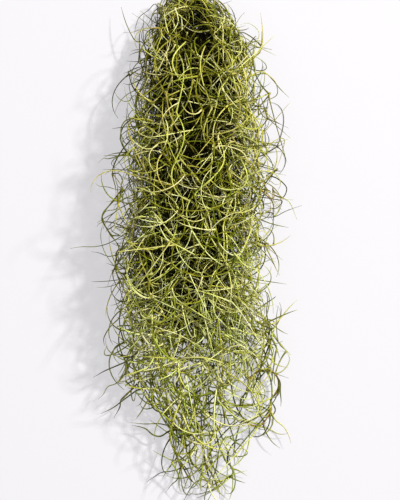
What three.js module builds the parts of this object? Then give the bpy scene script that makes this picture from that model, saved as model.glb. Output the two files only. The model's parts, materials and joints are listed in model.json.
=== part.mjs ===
// A bunch of Spanish moss, laid on its back: leafy strands that are gathered at a crown and trail
// away from it. Millimetres. +Z is up from the surface that it lies on, the crown points along +Y
// and the loose tips along -Y. Every strand is one closed, faceted solid of three-sided threads:
// wiry stems with thicker nodes, and thread leaves whose feet are laid on the faces of the nodes.
import * as THREE from "three";
import { mergeGeometries, mergeVertices } from "three/addons/utils/BufferGeometryUtils.js";

// The bunch as a whole, as [distance below the crown, size] stations.
const LENGTH = 328;
const HALF_WIDTH = [
  [0, 9], [12, 16], [24, 23], [40, 30], [75, 34], [140, 39],
  [225, 41], [250, 35], [265, 30], [282, 17], [305, 13], [328, 6],
];
const THICKNESS = [
  [0, 18], [15, 36], [60, 58], [120, 62], [190, 52], [250, 34], [300, 20], [328, 12],
];
const SIDE_DRIFT = [
  [0, -8], [24, -1], [136, -2], [175, -6], [210, -2], [245, -4], [265, 7], [328, 6],
];
const PRESSED = 0.62; // over 0.5 presses the underside flat on the surface

// Strands: a line down the bunch for each, spread over the section by the golden angle.
const STRANDS = 27;
const GOLDEN_ANGLE = 2.399963;
const GOLDEN_RATIO = 0.618034;
const FIRST_START = 8; // distances below the crown
const START_SPREAD = 40;
const SHORTEST_END = 168;
const LONGEST_END = 305;
const FIRST_END = 0.3; // share of that range at which the first strand ends
const WANDER = 0.34; // how far a node strays from its strand's line, as a share of the section
const ARCHED = 3; // every third strand starts with an arch over the crown
const ARCH_RISE = [17, 25];

// Stems, three-sided, with two rings of corners at each node.
const SIDES = 3;
const NODE_SPACING = [16, 24];
const BOW = [2.5, 8.5]; // how far the stem bows out between two nodes
const CROWN_RADIUS = 1.25; // stems run together at the crown
const TAIL_RADIUS = 0.55;
const NODE_SWELL = 0.25;
const NODE_LENGTH = 1.8;
const SHOOT_EVERY = 4; // nodes, from one curled side shoot to the next
const SHOOT_LENGTH = [28, 38];
const SHOOT_TURN = [1.8, 3.2]; // radians that a side shoot curls through
const SHOOT_LEAN = 0.5; // how far it may lean aside where it starts

// Leaves.
const LEAVES_PER_NODE = 3;
const LEAF_LENGTH = [25, 47];
const LEAF_SHORTENING = 0.4; // share of its length that a leaf gives up to find room
const LEAF_RADIUS = 0.68;
const LEAF_TAPER = 0.55;
const LEAF_SPREAD = [0.6, 1.35]; // radians between a leaf and its stem
const BACKWARD_SHARE = 0.3; // of the leaves point back up their stem
const LEAF_CURL = [-1.0, 1.7]; // radians, even along the leaf
const LEAF_HOOK = [-1.4, 1.4]; // radians, more towards the tip
const LEAN_OUT = [0, 0.35]; // away from the bunch's middle line
const REACH = 7; // threads may stand this far out of the body
const STRAY_REACH = 18; // and a few leaves this much further

// Fineness, and the room that threads leave each other.
const STEPS = 12; // along one leaf or one stretch of stem
const ROW_COUNTS = [2, 3, 4, 6]; // rows of faces along it, more of them where it turns more
const TURN_PER_ROW = 0.6; // radians
const GAP = 0.35;
const LOWEST = 0.4; // of a thread's middle line, so that what lies on the surface is pressed flat
const CLOSEST_ANGLE = 0.8; // cosine, between threads that leave one node
const WIDEST_PARTING = 1.2; // radians, between the way that two of them part and their roots lie
const TIGHTEST_CURL = 0.3; // cosine, between one row of a thread and the next
const SHARPEST_BEND = 0.62; // cosine, of the stem at a node
const LOWEST_START = 0.35; // sine, between a thread and the face of the node that it leaves
const STEM_TRIES = 1200;
const LEAF_TRIES = 150;
const SEED = 11;

// Colours, from strands low in the bunch to those on top.
const OLD_GREEN = new THREE.Color(0x565c22);
const YOUNG_GREEN = new THREE.Color(0xa4ad42);

const FULL_TURN = [0, 2 * Math.PI];
const { clamp, lerp } = THREE.MathUtils;

// A linear congruential generator, which gives the same bunch every time.
function seeded(seed) {
  let state = seed;
  const draw = ([low, high]) => {
    state = (state * 1664525 + 1013904223) % 4294967296;
    return low + ((high - low) * state) / 4294967296;
  };
  for (let i = 0; i < 4; i++) draw([0, 1]);
  return draw;
}

// The size at a distance below the crown, from a list of stations.
function along(stations, distance) {
  const next = stations.findIndex(([place]) => place > distance);
  if (next === 0) return stations[0][1];
  if (next < 0) return stations[stations.length - 1][1];
  const [d0, size0] = stations[next - 1];
  const [d1, size1] = stations[next];
  return size0 + ((size1 - size0) * (distance - d0)) / (d1 - d0);
}

// A point of the bunch: across and up are 0 on its middle line and 1 at its outside.
function inBunch(distance, across, up) {
  const out = Math.max(1, Math.hypot(across, up));
  const x = along(SIDE_DRIFT, distance) + (along(HALF_WIDTH, distance) * across) / out;
  const z = along(THICKNESS, distance) * (0.5 + (PRESSED * up) / out);
  return new THREE.Vector3(x, -distance, Math.max(LOWEST, z));
}

// Away from the bunch's middle line: about 1 long at the outside.
function outwardAt(point) {
  const x = (point.x - along(SIDE_DRIFT, -point.y)) / along(HALF_WIDTH, -point.y);
  return new THREE.Vector3(x, 0, (2 * point.z) / along(THICKNESS, -point.y) - 1);
}

// True where a thread stays in the bunch, or out of it by no more than a reach.
function staysIn(points, reach) {
  return points.every((point) => {
    const distance = -point.y;
    const aside = Math.abs(point.x - along(SIDE_DRIFT, distance));
    const height = along(THICKNESS, distance) * (0.5 + PRESSED);
    const inside = aside < along(HALF_WIDTH, distance) + reach && point.z < height + reach / 2;
    return inside && distance > 0 && distance < LENGTH;
  });
}

function headingOf(from, to) {
  return new THREE.Vector3().subVectors(to, from).normalize();
}

// The unit vector square to a heading, at an angle round it.
function squareTo(heading, angle) {
  const isSteep = Math.abs(heading.z) >= 0.8;
  const pole = isSteep ? new THREE.Vector3(1, 0, 0) : new THREE.Vector3(0, 0, 1);
  const a = new THREE.Vector3().crossVectors(heading, pole).normalize();
  const b = new THREE.Vector3().crossVectors(heading, a);
  return a.multiplyScalar(Math.cos(angle)).addScaledVector(b, Math.sin(angle));
}

// A path from start to end that bows out to one side.
function bowedPath(start, end, side, bow) {
  const path = [];
  for (let i = 0; i <= STEPS; i++) {
    const point = new THREE.Vector3().lerpVectors(start, end, i / STEPS);
    point.addScaledVector(side, bow * Math.sin((Math.PI * i) / STEPS));
    path.push(point.setZ(Math.max(LOWEST, point.z)));
  }
  return path;
}

// A path that sets off along heading and curls towards side, more and more if it hooks. Where it
// comes down to the surface it slides along it.
function curledPath(start, heading, side, length, curl, hook) {
  const path = [start];
  for (let i = 0; i < STEPS; i++) {
    const t = (i + 0.5) / STEPS;
    const turn = curl * t + hook * t * t;
    const step = heading.clone().multiplyScalar(Math.cos(turn)).addScaledVector(side, Math.sin(turn));
    step.z = Math.max(step.z, ((LOWEST - path[i].z) * STEPS) / length);
    const level = Math.sqrt(Math.max(0, 1 - step.z ** 2)) / Math.max(1e-6, Math.hypot(step.x, step.y));
    step.x *= level;
    step.y *= level;
    path.push(path[i].clone().addScaledVector(step, length / STEPS));
  }
  return path;
}

// The points of a path between which its solid has rows of faces.
function rowsOf(path) {
  let turn = 0;
  for (let i = 1; i < STEPS; i++) {
    turn += headingOf(path[i - 1], path[i]).angleTo(headingOf(path[i], path[i + 1]));
  }
  const most = ROW_COUNTS[ROW_COUNTS.length - 1];
  const rows = ROW_COUNTS.find((count) => turn < count * TURN_PER_ROW) || most;
  return path.filter((_, i) => i % (STEPS / rows) === 0);
}

// True where no row of a thread bends sharply into the next.
function isSmooth(rows) {
  return rows.every((point, i) => {
    if (i < 2) return true;
    return headingOf(rows[i - 2], rows[i - 1]).dot(headingOf(rows[i - 1], point)) > TIGHTEST_CURL;
  });
}

// The least distance between two straight stretches.
function distanceBetween(start1, end1, start2, end2) {
  const along1 = new THREE.Vector3().subVectors(end1, start1);
  const along2 = new THREE.Vector3().subVectors(end2, start2);
  const between = new THREE.Vector3().subVectors(start1, start2);
  const a = along1.dot(along1);
  const b = along1.dot(along2);
  const c = along1.dot(between);
  const e = along2.dot(along2);
  const f = along2.dot(between);
  const slant = a * e - b * b;
  let s = slant > 1e-9 ? clamp((b * f - c * e) / slant, 0, 1) : 0;
  let t = (b * s + f) / e;
  if (t < 0 || t > 1) {
    t = clamp(t, 0, 1);
    s = clamp((b * t - c) / a, 0, 1);
  }
  return between.addScaledVector(along1, s).addScaledVector(along2, -t).length();
}

// Every straight stretch of thread so far, and what leaves each node in which direction.
const stretches = [];
const leaving = [];

function newNode() {
  return leaving.push([]) - 1;
}

// True where a thread that leaves a node has room for itself.
function hasRoom(points, radii, fromNode) {
  const away = headingOf(points[0], points[1]);
  for (const other of leaving[fromNode]) {
    const parting = new THREE.Vector3().subVectors(away, other.away);
    const apart = new THREE.Vector3().subVectors(points[0], other.root);
    if (away.dot(other.away) > CLOSEST_ANGLE) return false;
    if (parting.angleTo(apart) > WIDEST_PARTING) return false;
  }
  for (let i = 1; i < points.length; i++) {
    const length = points[i].distanceTo(points[i - 1]);
    const radius = Math.max(radii[i - 1], radii[i]);
    for (const other of stretches) {
      if (i === 1 && other.nodes.includes(fromNode)) continue;
      const room = radius + other.radius + GAP;
      if (points[i].distanceTo(other.start) > room + length + other.length) continue;
      if (distanceBetween(points[i - 1], points[i], other.start, other.end) < room) return false;
    }
  }
  return true;
}

// Takes up the room of a thread from one node to another, or to a free tip.
function take(points, radii, fromNode, toNode) {
  const last = points.length - 1;
  for (let i = 1; i <= last; i++) {
    const nodes = [];
    if (i === 1) nodes.push(fromNode);
    if (i === last && toNode !== null) nodes.push(toNode);
    const start = points[i - 1];
    const end = points[i];
    const radius = Math.max(radii[i - 1], radii[i]);
    stretches.push({ start, end, radius, nodes, length: start.distanceTo(end) });
  }
  leaving[fromNode].push({ root: points[0], away: headingOf(points[0], points[1]) });
  if (toNode === null) return;
  leaving[toNode].push({ root: points[last], away: headingOf(points[last], points[last - 1]) });
}

// The three corners of a ring square to a heading. The first lies on the side of first.
function ringAt(centre, heading, first, radius) {
  const towards = first.clone().addScaledVector(heading, -first.dot(heading)).normalize();
  const side = new THREE.Vector3().crossVectors(heading, towards);
  return [0, 1, 2].map((k) => {
    const angle = (k * 2 * Math.PI) / SIDES;
    const corner = centre.clone().addScaledVector(towards, radius * Math.cos(angle));
    corner.addScaledVector(side, radius * Math.sin(angle));
    return corner.setZ(Math.max(0, corner.z));
  });
}

// The direction of a thread at one of its points. The shorter stretch there counts for more.
function headingAt(points, i) {
  const heading = new THREE.Vector3();
  for (const k of [i, i + 1]) {
    if (k === 0 || k === points.length) continue;
    const stretch = new THREE.Vector3().subVectors(points[k], points[k - 1]);
    heading.addScaledVector(stretch, 1 / stretch.lengthSq());
  }
  return heading.normalize();
}

// The rings of a thread along its points, turned as little as they can be from one to the next.
// A thread with a foot starts with the corners of that face of its stem.
function ringsAlong(points, radii, foot) {
  const away = headingOf(points[0], points[1]);
  let first = foot ? new THREE.Vector3() : squareTo(away, 0);
  const corners = foot ? [foot.a, foot.b, foot.c] : [];
  corners.forEach((corner, k) => {
    first.add(corner.clone().sub(points[0]).applyAxisAngle(away, (-k * 2 * Math.PI) / SIDES));
  });
  return points.map((point, i) => {
    if (foot && i === 0) return corners;
    const ring = ringAt(point, headingAt(points, i), first, radii[i]);
    if (radii[i] > 0) first = new THREE.Vector3().subVectors(ring[0], point);
    return ring;
  });
}

// One of the six triangles round a node, seen from outside. Turns count from a side that differs
// from node to node.
function nodeFace(shoot, node, turn) {
  const number = (node.id + turn) % (2 * SIDES);
  const side = number % SIDES;
  const next = (side + 1) % SIDES;
  const lower = shoot.rings[node.row];
  const higher = shoot.rings[node.row + 1];
  if (number < SIDES) return new THREE.Triangle(lower[side], lower[next], higher[next]);
  return new THREE.Triangle(higher[side], lower[side], higher[next]);
}

// A stem's radius at each row between two nodes. A main stem is thicker towards the crown.
function stemRadii(rows, isMain) {
  return rows.map((point, row) => {
    const share = isMain ? Math.min(1, -point.y / SHORTEST_END) : 1;
    const swell = row === 0 || row === rows.length - 1 ? NODE_SWELL : 0;
    return lerp(CROWN_RADIUS, TAIL_RADIUS, share) + swell;
  });
}

function leafRadii(rows, footRadius) {
  const last = rows.length - 1;
  return rows.map((_, row) => {
    if (row === 0) return footRadius;
    return row < last ? LEAF_RADIUS * (1 - LEAF_TAPER * (row / last) ** 2) : 0;
  });
}

// The end of a node whose stem arrives by a path's last step.
function endOfNode(path) {
  const heading = headingOf(path[STEPS - 1], path[STEPS]);
  const end = path[STEPS].clone().addScaledVector(heading, NODE_LENGTH);
  return end.setZ(Math.max(LOWEST, end.z));
}

// Adds a stretch of stem to a shoot, with the node at its end.
function addNode(shoot, rows, radii, end, fromNode) {
  const id = newNode();
  const radius = radii[radii.length - 1];
  take(rows, radii, fromNode, id);
  stretches.push({ start: rows[rows.length - 1], end, radius, nodes: [id], length: NODE_LENGTH });
  shoot.points.push(...rows.slice(1), end);
  shoot.radii.push(...radii.slice(1), radius);
  shoot.nodes.push({ id, row: shoot.points.length - 2 });
}

// Ends a shoot in a leaf, and gives the shoot its rings.
function finish(shoot, draw, heading) {
  const { id } = shoot.nodes[shoot.nodes.length - 1];
  const end = shoot.points[shoot.points.length - 1];
  const footRadius = shoot.radii[shoot.radii.length - 1];
  let rows = [end, end.clone().addScaledVector(heading, NODE_LENGTH)];
  for (let i = 0; i < LEAF_TRIES; i++) {
    const side = squareTo(heading, draw(FULL_TURN));
    const length = draw(LEAF_LENGTH) * (1 - i / LEAF_TRIES);
    const tried = rowsOf(curledPath(end, heading, side, length, draw(LEAF_CURL), 0));
    if (!isSmooth(tried) || !staysIn(tried, REACH)) continue;
    if (!hasRoom(tried, leafRadii(tried, footRadius), id)) continue;
    rows = tried;
    break;
  }
  const radii = leafRadii(rows, footRadius);
  take(rows, radii, id, null);
  shoot.points.push(...rows.slice(1));
  shoot.radii.push(...radii.slice(1));
  shoot.rings = ringsAlong(shoot.points, shoot.radii, shoot.foot);
  return shoot;
}

// The main stem of a strand.
function growStem(strand) {
  const draw = seeded(SEED + 101 * strand);
  const out = Math.sqrt((strand + 0.5) / STRANDS);
  const across = out * Math.cos(strand * GOLDEN_ANGLE);
  const up = out * Math.sin(strand * GOLDEN_ANGLE);
  const isArched = strand % ARCHED === 1;
  const end = lerp(SHORTEST_END, LONGEST_END, (strand * GOLDEN_RATIO + FIRST_END) % 1);
  let distance = FIRST_START + START_SPREAD * ((strand * GOLDEN_RATIO) % 1);
  if (isArched) distance += ARCH_RISE[1];
  const shoot = { points: [inBunch(distance, across, up)], radii: [0], nodes: [], foot: null };
  let heading = null;
  let fromNode = newNode();
  while (distance < end) {
    const isFirst = shoot.nodes.length === 0;
    const isArch = isArched && isFirst;
    const spacing = isArch ? 0 : draw(NODE_SPACING);
    let found = null;
    for (let i = 0; i < STEM_TRIES && !found; i++) {
      const wander = WANDER * (1 + (2 * i) / STEM_TRIES);
      const stray = () => draw([-wander, wander]);
      const startAcross = isArch ? draw([-1, 1]) : across + stray();
      if (isFirst) shoot.points[0] = inBunch(distance, startAcross, up + stray());
      const from = shoot.points[shoot.points.length - 1];
      const to = inBunch(distance + spacing, across + stray(), up + stray());
      const aside = squareTo(headingOf(from, to), draw(FULL_TURN));
      const side = isArch ? new THREE.Vector3(0, 1, 0) : aside;
      found = tryStretch(from, to, side, draw(isArch ? ARCH_RISE : BOW), heading, fromNode);
      if (isArch && from.distanceTo(to) < ARCH_RISE[0]) found = null;
    }
    if (found) {
      addNode(shoot, found.rows, found.radii, found.end, fromNode);
      heading = found.heading;
      fromNode = shoot.nodes[shoot.nodes.length - 1].id;
      distance = -found.end.y;
    } else if (isFirst) {
      distance += NODE_LENGTH;
    } else {
      break;
    }
  }
  return finish(shoot, draw, heading);
}

// A bowed stretch of main stem with its node, or null where it doesn't fit.
function tryStretch(from, to, side, bow, heading, fromNode) {
  const path = bowedPath(from, to, side, bow);
  const rows = rowsOf(path);
  const end = endOfNode(path);
  const radii = stemRadii(rows, true);
  if (heading && headingOf(from, rows[1]).dot(heading) < SHARPEST_BEND) return null;
  if (!staysIn([...rows, end], REACH)) return null;
  if (!hasRoom([...rows, end], [...radii, radii[0]], fromNode)) return null;
  return { rows, radii, end, heading: headingOf(path[STEPS], end) };
}

// A curled side shoot with one node, from a node of a main stem, or null where it has no room.
function growSideShoot(stem, node, draw) {
  const face = nodeFace(stem, node, 2 * SIDES - 1);
  const root = face.getMidpoint(new THREE.Vector3());
  const normal = face.getNormal(new THREE.Vector3());
  for (let i = 0; i < LEAF_TRIES; i++) {
    const heading = normal.clone().addScaledVector(squareTo(normal, draw(FULL_TURN)), SHOOT_LEAN);
    heading.addScaledVector(outwardAt(root), draw(LEAN_OUT)).normalize();
    const towards = squareTo(heading, draw(FULL_TURN));
    const path = curledPath(root, heading, towards, draw(SHOOT_LENGTH), draw(SHOOT_TURN), 0);
    const rows = rowsOf(path);
    const end = endOfNode(path);
    const radii = stemRadii(rows, false);
    radii[0] = root.distanceTo(face.a);
    if (!isSmooth(rows) || headingOf(root, rows[1]).dot(normal) < LOWEST_START) continue;
    if (!staysIn([...rows, end], REACH + STRAY_REACH / 2)) continue;
    if (!hasRoom([...rows, end], [...radii, radii[0]], node.id)) continue;
    const shoot = { points: [root], radii: [radii[0]], nodes: [], foot: face };
    addNode(shoot, rows, radii, end, node.id);
    return finish(shoot, draw, headingOf(path[STEPS], end));
  }
  return null;
}

// A thread leaf from a face of a node, or null where it has no room.
function growLeaf(shoot, node, turn, draw) {
  const face = nodeFace(shoot, node, turn);
  const root = face.getMidpoint(new THREE.Vector3());
  const normal = face.getNormal(new THREE.Vector3());
  const stem = headingOf(shoot.points[node.row], shoot.points[node.row + 1]);
  if (draw([0, 1]) < BACKWARD_SHARE) stem.negate();
  for (let i = 0; i < LEAF_TRIES; i++) {
    const spread = draw(LEAF_SPREAD);
    const heading = normal.clone().multiplyScalar(Math.sin(spread));
    heading.addScaledVector(stem, Math.cos(spread));
    heading.addScaledVector(outwardAt(root), draw(LEAN_OUT)).normalize();
    const towards = squareTo(heading, draw(FULL_TURN));
    const length = draw(LEAF_LENGTH) * (1 - (LEAF_SHORTENING * i) / LEAF_TRIES);
    const curl = draw(LEAF_CURL);
    const rows = rowsOf(curledPath(root, heading, towards, length, curl, draw(LEAF_HOOK)));
    const reach = REACH + STRAY_REACH * draw([0, 1]) ** 3;
    const radii = leafRadii(rows, root.distanceTo(face.a));
    if (!isSmooth(rows) || headingOf(root, rows[1]).dot(normal) < LOWEST_START) continue;
    if (!staysIn(rows, reach) || !hasRoom(rows, radii, node.id)) continue;
    take(rows, radii, node.id, null);
    return { rings: ringsAlong(rows, radii, face), foot: face };
  }
  return null;
}

// Every strand as a list of threads: its main stem, its side shoots, then its leaves.
function growStrands() {
  const strands = [];
  for (let strand = 0; strand < STRANDS; strand++) strands.push([growStem(strand)]);
  strands.forEach((threads, strand) => {
    const stem = threads[0];
    for (let i = 1 + (strand % SHOOT_EVERY); i < stem.nodes.length; i += SHOOT_EVERY) {
      const draw = seeded(SEED + 5003 * (strand + 1) + 31 * i);
      const shoot = growSideShoot(stem, stem.nodes[i], draw);
      if (shoot) threads.push(shoot);
    }
  });
  const shoots = strands.map((threads) => [...threads]);
  for (let turn = 0; turn < LEAVES_PER_NODE; turn++) {
    strands.forEach((threads, strand) => {
      for (const shoot of shoots[strand]) {
        for (const node of shoot.nodes) {
          const draw = seeded(SEED + 20011 * (strand + 1) + 97 * node.id + 7 * turn);
          const leaf = growLeaf(shoot, node, turn, draw);
          if (leaf) threads.push(leaf);
        }
      }
    });
  }
  return strands;
}

// A three-sided cylinder whose rows of corners are moved to a thread's rings. A thread without a
// foot starts at a point, and every thread ends at one.
function threadGeometry(thread) {
  const rows = thread.rings.length - 1;
  const geometry = new THREE.CylinderGeometry(0, thread.foot ? 1 : 0, 1, SIDES, rows, true);
  geometry.deleteAttribute("normal");
  geometry.deleteAttribute("uv");
  const corners = geometry.getAttribute("position");
  for (let i = 0; i < corners.count; i++) {
    const row = rows - Math.floor(i / (SIDES + 1));
    const corner = thread.rings[row][(i % (SIDES + 1)) % SIDES];
    corners.setXYZ(i, corner.x, corner.y, corner.z);
  }
  return geometry;
}

function faceKey(points) {
  return points.map((point) => point.toArray().map(Math.fround).join(" ")).sort().join(" ");
}

// All threads of a strand as one closed body: each node face under a foot is left out, so that the
// thread's open foot joins the stem there.
function strandGeometry(threads) {
  const geometry = mergeVertices(mergeGeometries(threads.map(threadGeometry)));
  const feet = threads.filter(({ foot }) => foot).map(({ foot }) => faceKey([foot.a, foot.b, foot.c]));
  const covered = new Set(feet);
  const corners = geometry.getAttribute("position");
  const index = [];
  for (let i = 0; i < geometry.index.count; i += 3) {
    const face = [0, 1, 2].map((k) => geometry.index.getX(i + k));
    const points = face.map((corner) => new THREE.Vector3().fromBufferAttribute(corners, corner));
    if (!covered.has(faceKey(points))) index.push(...face);
  }
  geometry.setIndex(index);
  geometry.computeVertexNormals();
  return geometry;
}

const bunch = new THREE.Group();
growStrands().forEach((threads, strand) => {
  const geometry = strandGeometry(threads);
  geometry.computeBoundingBox();
  const height = geometry.boundingBox.getCenter(new THREE.Vector3()).z / THICKNESS[3][1];
  const color = new THREE.Color().lerpColors(OLD_GREEN, YOUNG_GREEN, height);
  const material = new THREE.MeshStandardMaterial({ color, roughness: 0.6, metalness: 0 });
  const mesh = new THREE.Mesh(geometry, material);
  mesh.name = "strand_" + String(strand + 1).padStart(2, "0");
  bunch.add(mesh);
});

// The origin lies on the surface, under the middle of the bunch's outline.
const middle = new THREE.Box3().setFromObject(bunch).getCenter(new THREE.Vector3());
bunch.position.set(-middle.x, -middle.y, 0);

export default bunch;
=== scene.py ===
# A bunch of Spanish moss, laid on its back on a pale floor and seen from above. The strands of the
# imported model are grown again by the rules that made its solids, from the same draws, so each fine
# strand lies where its solid does. More threads are then grown in between, to the real number.
# Growing is in millimetres, with y = 0 at the crown and y = -distance below it. Everything in
# Blender is in metres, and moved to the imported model's place.
import json
import math
from collections import namedtuple

import bpy
import numpy as np
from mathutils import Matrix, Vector


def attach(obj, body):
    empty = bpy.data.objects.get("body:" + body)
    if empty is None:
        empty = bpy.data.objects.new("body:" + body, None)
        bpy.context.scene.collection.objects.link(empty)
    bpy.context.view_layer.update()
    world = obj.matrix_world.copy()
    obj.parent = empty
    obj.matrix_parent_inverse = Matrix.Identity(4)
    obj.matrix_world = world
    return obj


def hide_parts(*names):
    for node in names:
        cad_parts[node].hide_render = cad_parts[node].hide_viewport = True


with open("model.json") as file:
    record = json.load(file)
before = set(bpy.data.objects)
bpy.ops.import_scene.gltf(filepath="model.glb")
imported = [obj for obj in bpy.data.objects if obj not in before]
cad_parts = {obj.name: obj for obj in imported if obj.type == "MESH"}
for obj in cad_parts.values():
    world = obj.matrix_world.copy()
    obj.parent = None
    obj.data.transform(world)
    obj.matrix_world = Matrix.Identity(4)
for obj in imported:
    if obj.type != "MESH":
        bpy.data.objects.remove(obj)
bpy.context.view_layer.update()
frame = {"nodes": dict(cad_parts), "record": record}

# The bunch as a whole, as (distance below the crown, size) stations. As in the solids.
LENGTH = 328
HALF_WIDTH = (
    (0, 9), (12, 16), (24, 23), (40, 30), (75, 34), (140, 39),
    (225, 41), (250, 35), (265, 30), (282, 17), (305, 13), (328, 6),
)
THICKNESS = ((0, 18), (15, 36), (60, 58), (120, 62), (190, 52), (250, 34), (300, 20), (328, 12))
SIDE_DRIFT = ((0, -8), (24, -1), (136, -2), (175, -6), (210, -2), (245, -4), (265, 7), (328, 6))
PRESSED = 0.62  # over 0.5 presses the underside flat on the surface
METRES = 0.001  # in a millimetre

# Strands, stems and leaves, as in the solids. Lengths are in millimetres, turns in radians.
STRANDS = 27
GOLDEN_ANGLE = 2.399963  # spreads the strands over the section
GOLDEN_RATIO = 0.618034
FIRST_START = 8  # distances below the crown
START_SPREAD = 40
SHORTEST_END = 168
LONGEST_END = 305
FIRST_END = 0.3  # share of that range at which the first strand ends
WANDER = 0.34  # how far a node strays from its strand's line, as a share of the section
WANDER_GROWTH = 2  # how much more by the last try
ARCHED = 3  # every third strand starts with an arch over the crown
ARCH_RISE = (17, 25)
SIDES = 3
NODE_SPACING = (16, 24)
BOW = (2.5, 8.5)  # how far the stem bows out between two nodes
CROWN_RADIUS = 1.25
TAIL_RADIUS = 0.55
NODE_SWELL = 0.25
NODE_LENGTH = 1.8
SHOOT_EVERY = 4  # nodes, from one side shoot to the next
SHOOT_LENGTH = (28, 38)
SHOOT_TURN = (1.8, 3.2)
SHOOT_LEAN = 0.5
LEAVES_PER_NODE = 3
LEAF_LENGTH = (25, 47)
LEAF_SHORTENING = 0.4  # share of its length that a leaf gives up to find room
LEAF_RADIUS = 0.68
LEAF_TAPER = 0.55
LEAF_SPREAD = (0.6, 1.35)  # between a leaf and its stem
BACKWARD_SHARE = 0.3  # of the leaves point back up their stem
LEAF_CURL = (-1.0, 1.7)  # even along the leaf
LEAF_HOOK = (-1.4, 1.4)  # more towards the tip
LEAN_OUT = (0, 0.35)
REACH = 7  # threads may stand this far out of the body
STRAY_REACH = 18  # and a few leaves this much further
STRAY_POWER = 3  # of a draw, so that they are few
STEPS = 12  # along one leaf or one stretch of stem
ROW_COUNTS = (2, 3, 4, 6)
TURN_PER_ROW = 0.6
GAP = 0.35
LOWEST = 0.4  # of a thread's middle line
CLOSEST_ANGLE = 0.8  # cosine, between threads that leave one node
WIDEST_PARTING = 1.2
TIGHTEST_CURL = 0.3  # cosine, between one row of a thread and the next
SHARPEST_BEND = 0.62  # cosine, of the stem at a node
LOWEST_START = 0.35  # sine, between a thread and the face that it leaves
STEM_TRIES = 1200
LEAF_TRIES = 150
SEED = 11

# How far seeds are apart from strand to strand, from node to node and from turn to turn.
STEM_SEED = 101
SHOOT_SEEDS = (5003, 31, 0)
LEAF_SEEDS = (20011, 97, 7)
MORE_SEEDS = (30011, 89, 13)
LOOSE_SEEDS = (40009, 89, 13)
CORE_SEEDS = (50021, 83, 11)
COURSE_SEED = 77
CROWN_SEED = 78
MORE_PIECE_SEED = 300
FURTHER_PIECE_SEED = 600

# Strands that only this script adds.
MORE_STRANDS = 54
MORE_SPREAD = 44  # their starts, nodes and bows, as for the strands above
MORE_SPACING = (24, 40)
MORE_BOW = (3, 12)
MORE_END = 0.88  # share of the distance at which a strand of the solids would end
MORE_SHOOT_EVERY = 3
MORE_STEM_TRIES = 200
MORE_TRIES = 16
FINE_GAP = -0.7  # added threads may nestle a little into each other

# Their leaves: how many at a node, how long, and how they curl.
MORE_LEAVES = (
    (0, 7), (185, 7), (205, 4.5), (225, 2.5), (248, 1.5), (262, 1), (280, 0.6), (328, 0.5),
)
LEAVES_ON_OLD = ((0, 3), (205, 2.8), (225, 1.6), (238, 1), (255, 0), (328, 0))  # beyond the solids' own
AIRY_SIDES = ((0, 0.55), (180, 0.5), (210, 0.25), (250, 0.2), (328, 0.5))
AIRY_SHARE = 0.24  # of those leaves, at nodes farther out than that at the right side
MORE_LENGTH = (20, 44)
TAIL_LENGTH = ((0, 1), (185, 1), (215, 1.3), (328, 1.3))  # times the length
MORE_CURL = (-2.2, 2.8)
MORE_HOOK = (-1.8, 1.8)
MORE_COIL = ((0, 1), (225, 1), (262, 1.15), (328, 1.15))  # times the curl and hook
MORE_DROOP = ((0, 0), (80, 0.1), (170, 0.35), (328, 0.5))  # how much they run down the bunch
MORE_WAVE = (0, 0.35)  # how far they swing to both sides, and how often
MORE_WAVES = (5, 9)
MORE_FOOT = 0.6  # radius at the root
MORE_REACH = ((0, 2), (85, 2), (110, 5.5), (220, 5.5), (240, 11), (262, 9), (328, 9))
MORE_STRAY = 12  # a few leaves stand this much further out
ROOT_STEPS = (-4.4, 4.4)  # from the node along the stem's fine line

# Leaves that make the tangled core and fill the underside; painted shade darkens them.
CORE_DEPTH = 0.16  # from the outside, as a share of the section
CORE_LEAVES = 6  # at each node that is deeper
CORE_END = 215
FLANK = (-0.95, 0.5)  # the width of the underside that gets more of them
FLANK_LEAVES = 10

# Threads from the crown down over the shoulders. They part in front and leave a hollow there, which
# painted shade darkens.
CROWN_THREADS = 75
CROWN_CORE = 24  # further ones, low down behind the hollow
CROWN_POINTS = 8
CROWN_START = (1, 14)  # distances
CROWN_END = (22, 60)
CROWN_OUT = 0.75  # from the middle line, as a share of the section
CROWN_OUT_SPAN = 0.35
CROWN_NARROW = 0.5  # how far out it starts, as a share of where it ends
CROWN_WIDENING = 1.6  # how fast it gets there
CROWN_DRIFT = ((0, -5), (16, -5), (36, 0))
CROWN_SWAY = (0.22, 0.55)  # from side to side, as a share of the section
CROWN_SWINGS = (5, 11)
CROWN_LOOP = 14  # and along the bunch
CROWN_PARTING = 0.36
CROWN_LEAVES = 4
CROWN_INNER_EVERY = 3
CROWN_INNER = 0.65  # those run this far from the middle line, on the side of the floor
HOLLOW = (-3, 32)  # the middle of the hollow, as (x, distance)
HOLLOW_SIZE = (9, 14)
HOLLOW_EDGE = 0.7  # no leaf crosses the hollow farther in than this

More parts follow.
